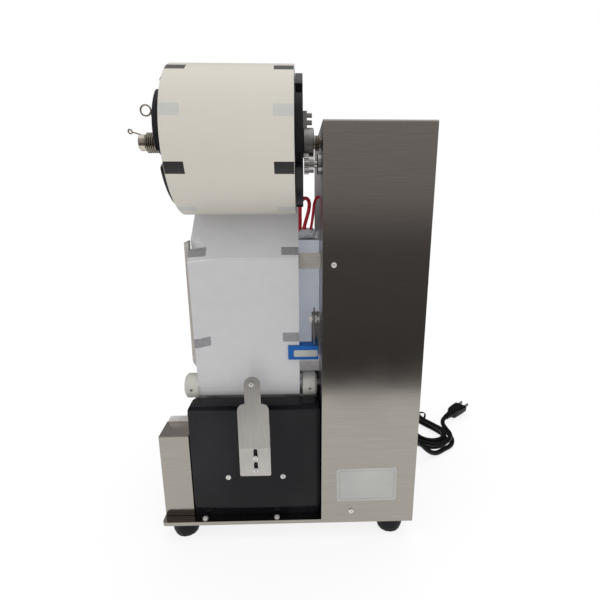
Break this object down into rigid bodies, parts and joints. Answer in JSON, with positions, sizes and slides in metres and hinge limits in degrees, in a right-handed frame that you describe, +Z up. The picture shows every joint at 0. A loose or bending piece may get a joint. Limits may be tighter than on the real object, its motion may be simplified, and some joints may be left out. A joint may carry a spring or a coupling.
{
  "type": "cup sealing machine",
  "caption": "Desktop cup sealing machine with a film roll on a side shaft, film guide and rollers, heated head, sliding cup drawer, tower housing and mains cord.",
  "frame": {"origin": "on the table, under the middle of the machine's box without its free cord", "axes": "+Z up, +X towards the tower, +Y towards the operator's side with the drawer"},
  "size_m": [0.5263, 0.4016, 0.5659],
  "materials": {
    "stainless": "brushed stainless steel sheet",
    "plate_grey": "bluish grey coated steel plate",
    "black_gloss": "glossy black cover",
    "black_matte": "matt black plastic",
    "motor_black": "black motor housing",
    "rubber": "black rubber",
    "steel": "turned bright steel",
    "spring_steel": "plated spring wire",
    "aluminium": "machined aluminium",
    "zinc_steel": "zinc plated sheet",
    "film": "translucent film",
    "white_plastic": "white plastic",
    "blue_plastic": "blue sensor housing",
    "red_rubber": "red plastic",
    "green_plastic": "green button cap",
    "board_green": "circuit board"
  },
  "bodies": {
    "frame": {"base_tray": "stainless", "foot_left_rear": "rubber", "foot_right_rear": "rubber", "foot_left_front": "rubber", "foot_right_front": "rubber", "mechanism_plate": "stainless", "tower_cover": "stainless", "control_panel": "stainless", "temperature_controller": "black_matte", "rear_cover": "black_gloss", "rail_box": "stainless", "guide_plate": "stainless", "sensor_body": "blue_plastic", "sensor_arm": "steel", "film_web": "film", "supply_bearing": "steel", "brake_collar": "steel", "brake_spring": "spring_steel", "thumb_wheel_bush": "steel", "takeup_motor": "motor_black", "head_top_plate": "plate_grey", "head_lower_plate": "aluminium", "head_rear_plate": "plate_grey", "guide_post_rear": "steel", "guide_post_front": "steel", "return_spring_rear": "spring_steel", "return_spring_front": "spring_steel", "lift_motor": "motor_black", "terminal_block": "white_plastic", "heater_lead": "red_rubber", "control_board": "board_green", "cord_gland": "rubber", "cord_tail": "rubber", "cord_hank": "rubber", "cord_lead": "rubber", "power_plug": "rubber"},
    "supply_reel": {"supply_shaft": "steel", "film_roll": "film", "outer_flange": "black_matte", "inner_flange": "black_matte", "lock_spring": "spring_steel"},
    "thumb_wheel": {"thumb_wheel": "steel"},
    "rear_roller": {"rear_roller": "aluminium", "roller_collar_left": "white_plastic", "roller_collar_right": "white_plastic"},
    "front_roller": {"front_roller": "aluminium"},
    "takeup_reel": {"takeup_reel": "black_matte", "waste_roll": "film"},
    "cup_drawer": {"drawer_shell": "stainless", "drawer_front": "stainless", "cup_ring": "aluminium", "drawer_handle": "steel"},
    "head_carriage": {"carriage_plate": "plate_grey", "heater_block": "aluminium"},
    "lift_pinion": {"lift_pinion": "steel"},
    "start_button": {"start_button": "green_plastic"},
    "feed_button": {"feed_button": "black_matte"},
    "power_rocker": {"power_rocker": "red_rubber"},
    "finger_bracket": {"film_finger": "zinc_steel", "finger_plate": "zinc_steel"}
  },
  "joints": [
    {"name": "supply_spin", "type": "hinge", "parent": "frame", "child": "supply_reel", "pos_m": [-0.05462, -0.09695, 0.48765], "axis": [1, 0, 0], "continuous": true},
    {"name": "thumb_wheel_turn", "type": "hinge", "parent": "frame", "child": "thumb_wheel", "pos_m": [0.02538, -0.11195, 0.4646], "axis": [1, 0, 0], "continuous": true},
    {"name": "rear_roller_spin", "type": "hinge", "parent": "frame", "child": "rear_roller", "pos_m": [-0.05462, -0.09495, 0.1935], "axis": [1, 0, 0], "continuous": true},
    {"name": "front_roller_spin", "type": "hinge", "parent": "frame", "child": "front_roller", "pos_m": [-0.05462, 0.09705, 0.1935], "axis": [1, 0, 0], "continuous": true},
    {"name": "takeup_spin", "type": "hinge", "parent": "frame", "child": "takeup_reel", "pos_m": [-0.05462, 0.11505, 0.345], "axis": [1, 0, 0], "continuous": true},
    {"name": "drawer_slide", "type": "slide", "parent": "frame", "child": "cup_drawer", "axis": [0, 1, 0], "range_m": [0, 0.17]},
    {"name": "head_slide", "type": "slide", "parent": "frame", "child": "head_carriage", "axis": [0, 0, -1], "range_m": [0, 0.018], "stiffness_N_per_m": 2000, "springref_m": -0.018, "deforming": ["return_spring_rear", "return_spring_front"]},
    {"name": "lift_pinion_turn", "type": "hinge", "parent": "frame", "child": "lift_pinion", "pos_m": [0.06238, -0.0193, 0.285], "axis": [-1, 0, 0], "range_deg": [0, 90]},
    {"name": "start_button_press", "type": "slide", "parent": "frame", "child": "start_button", "axis": [0, -1, 0], "range_m": [0, 0.003], "stiffness_N_per_m": 400, "springref_m": -0.002},
    {"name": "feed_button_press", "type": "slide", "parent": "frame", "child": "feed_button", "axis": [0, -1, 0], "range_m": [0, 0.003], "stiffness_N_per_m": 400, "springref_m": -0.002},
    {"name": "power_rocker_tilt", "type": "hinge", "parent": "frame", "child": "power_rocker", "pos_m": [0.09403, 0.14755, 0.165], "axis": [-1, 0, 0], "range_deg": [0, 16]},
    {"name": "finger_adjust", "type": "slide", "parent": "frame", "child": "finger_bracket", "axis": [0, 0, 1], "range_m": [-0.008, 0.001]}
  ],
  "couplings": [
    {"joint": "lift_pinion_turn", "follows": "head_slide", "rad_per_m": 83.333}
  ]
}
